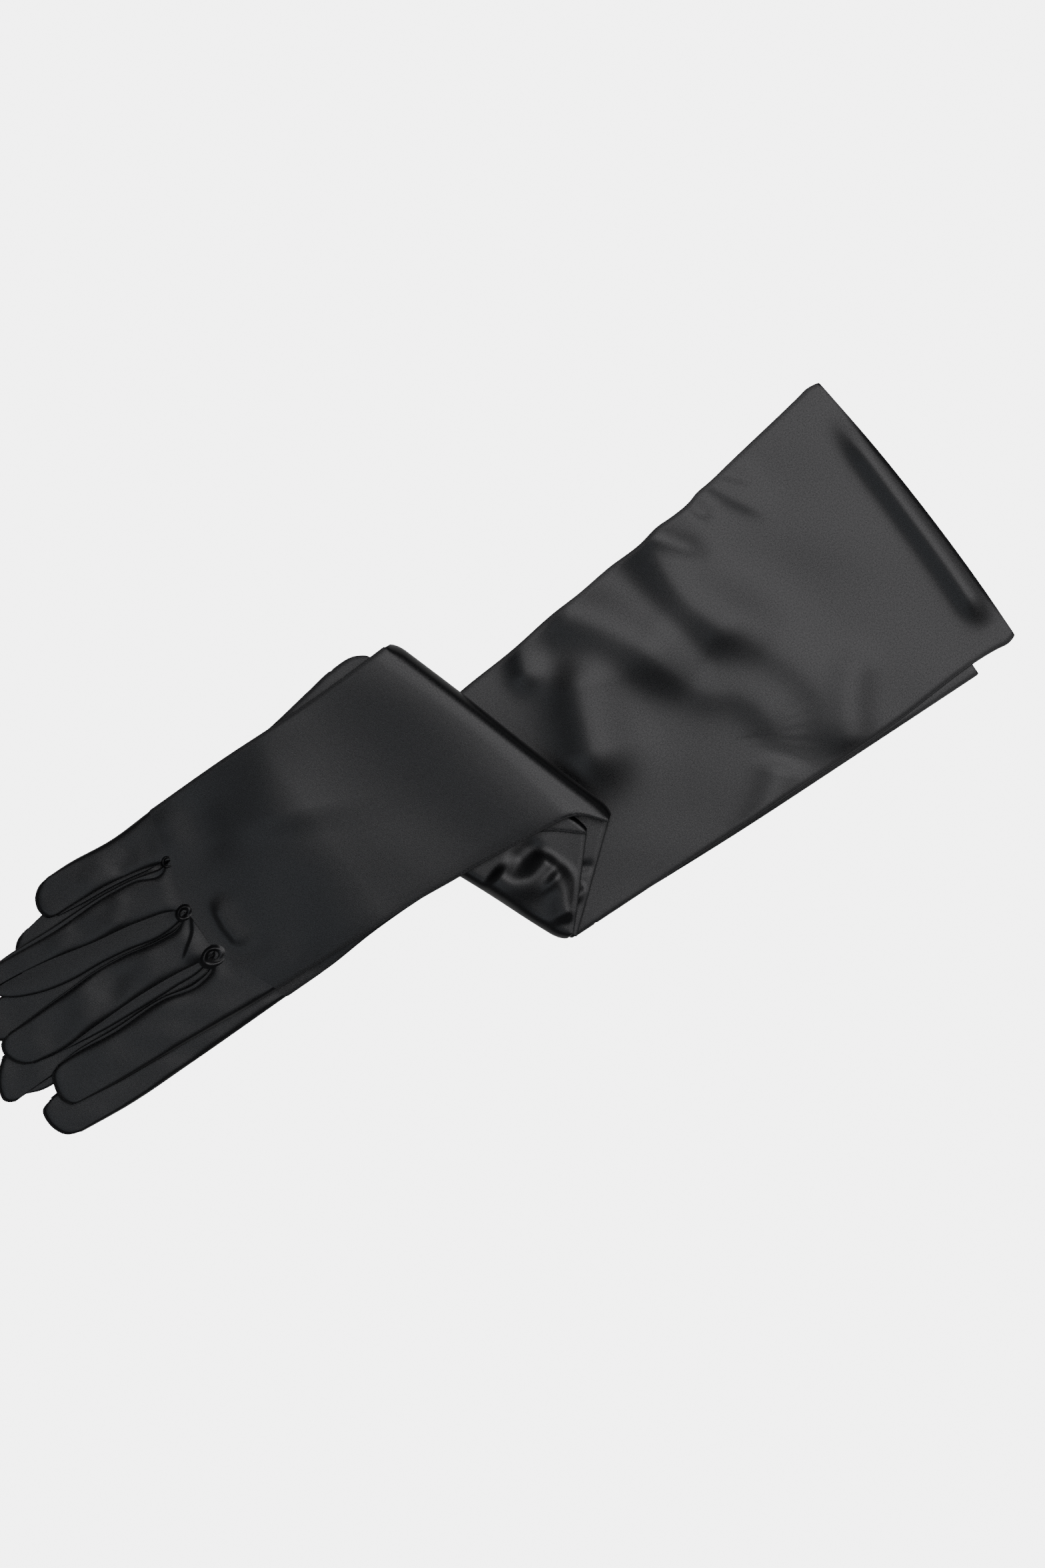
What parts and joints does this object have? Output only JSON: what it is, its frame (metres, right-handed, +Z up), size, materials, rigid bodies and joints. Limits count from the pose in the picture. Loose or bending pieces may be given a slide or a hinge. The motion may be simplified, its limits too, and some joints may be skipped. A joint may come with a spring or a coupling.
{
  "type": "opera gloves",
  "caption": "Pair of long satin opera gloves laid palm to palm and folded twice, with thumbs, fourchettes, side seams and hemmed mouths.",
  "frame": {"origin": "on the surface that the lower glove lies on, below the middle of the pair's box", "axes": "+X along the gloves towards their mouths, +Y towards the little fingers' side, +Z up"},
  "size_m": [0.4423, 0.1509, 0.0152],
  "materials": {
    "satin": "black stretch satin with a soft sheen",
    "fourchette": "the same black satin, cut in narrow strips",
    "hem": "turned-in black satin, stitched",
    "seam": "black seam allowance and thread"
  },
  "bodies": {
    "upper_arm": {"left_back_upper_arm": "satin", "left_palm_upper_arm": "satin", "left_hem": "hem", "left_seams_upper_arm": "seam", "left_back_elbow_bend": "satin", "left_palm_elbow_bend": "satin", "right_back_upper_arm": "satin", "right_palm_upper_arm": "satin", "right_hem": "hem", "right_seams_upper_arm": "seam", "right_back_elbow_bend": "satin", "right_palm_elbow_bend": "satin"},
    "elbow": {"left_back_elbow": "satin", "left_palm_elbow": "satin", "left_seams_elbow": "seam", "left_back_forearm_bend": "satin", "left_palm_forearm_bend": "satin", "right_back_elbow": "satin", "right_palm_elbow": "satin", "right_seams_elbow": "seam", "right_back_forearm_bend": "satin", "right_palm_forearm_bend": "satin"},
    "hands": {"left_back_hand": "satin", "left_palm_hand": "satin", "left_seams_hand": "seam", "left_thumb": "satin", "left_little_fourchettes": "fourchette", "left_ring_fourchettes": "fourchette", "left_middle_fourchettes": "fourchette", "left_index_fourchettes": "fourchette", "right_back_hand": "satin", "right_palm_hand": "satin", "right_seams_hand": "seam", "right_thumb": "satin"},
    "right_little": {"right_little_back": "satin", "right_little_palm": "satin", "right_little_fourchettes": "fourchette"},
    "right_ring": {"right_ring_back": "satin", "right_ring_palm": "satin", "right_ring_fourchettes": "fourchette"},
    "right_middle": {"right_middle_back": "satin", "right_middle_palm": "satin", "right_middle_fourchettes": "fourchette"},
    "right_index": {"right_index_back": "satin", "right_index_palm": "satin", "right_index_fourchettes": "fourchette"}
  },
  "joints": [
    {"name": "elbow_fold", "type": "hinge", "parent": "upper_arm", "child": "elbow", "pos_m": [-0.0137, -0.0152, 0.0049], "axis": [0.3795, -0.9252, 0], "range_deg": [0, 165], "deforming": ["left_back_elbow_bend", "left_palm_elbow_bend", "right_back_elbow_bend", "right_palm_elbow_bend"]},
    {"name": "forearm_fold", "type": "hinge", "parent": "elbow", "child": "hands", "pos_m": [0.0275, 0.019, 0.0103], "axis": [0.2924, -0.9563, 0], "range_deg": [-165, 0], "deforming": ["left_back_forearm_bend", "left_palm_forearm_bend", "right_back_forearm_bend", "right_palm_forearm_bend"]},
    {"name": "right_little_lift", "type": "hinge", "parent": "hands", "child": "right_little", "pos_m": [-0.109, 0.06505, 0.0075], "axis": [0, 1, 0], "range_deg": [0, 80]},
    {"name": "right_ring_lift", "type": "hinge", "parent": "hands", "child": "right_ring", "pos_m": [-0.115, 0.0443, 0.0075], "axis": [0, 1, 0], "range_deg": [0, 80]},
    {"name": "right_middle_lift", "type": "hinge", "parent": "hands", "child": "right_middle", "pos_m": [-0.1153, 0.0231, 0.0075], "axis": [0, 1, 0], "range_deg": [0, 80]},
    {"name": "right_index_lift", "type": "hinge", "parent": "hands", "child": "right_index", "pos_m": [-0.1153, -0.0001, 0.0075], "axis": [0, 1, 0], "range_deg": [0, 80]}
  ],
  "couplings": [
    {"joint": "forearm_fold", "follows": "elbow_fold", "ratio": -1}
  ]
}
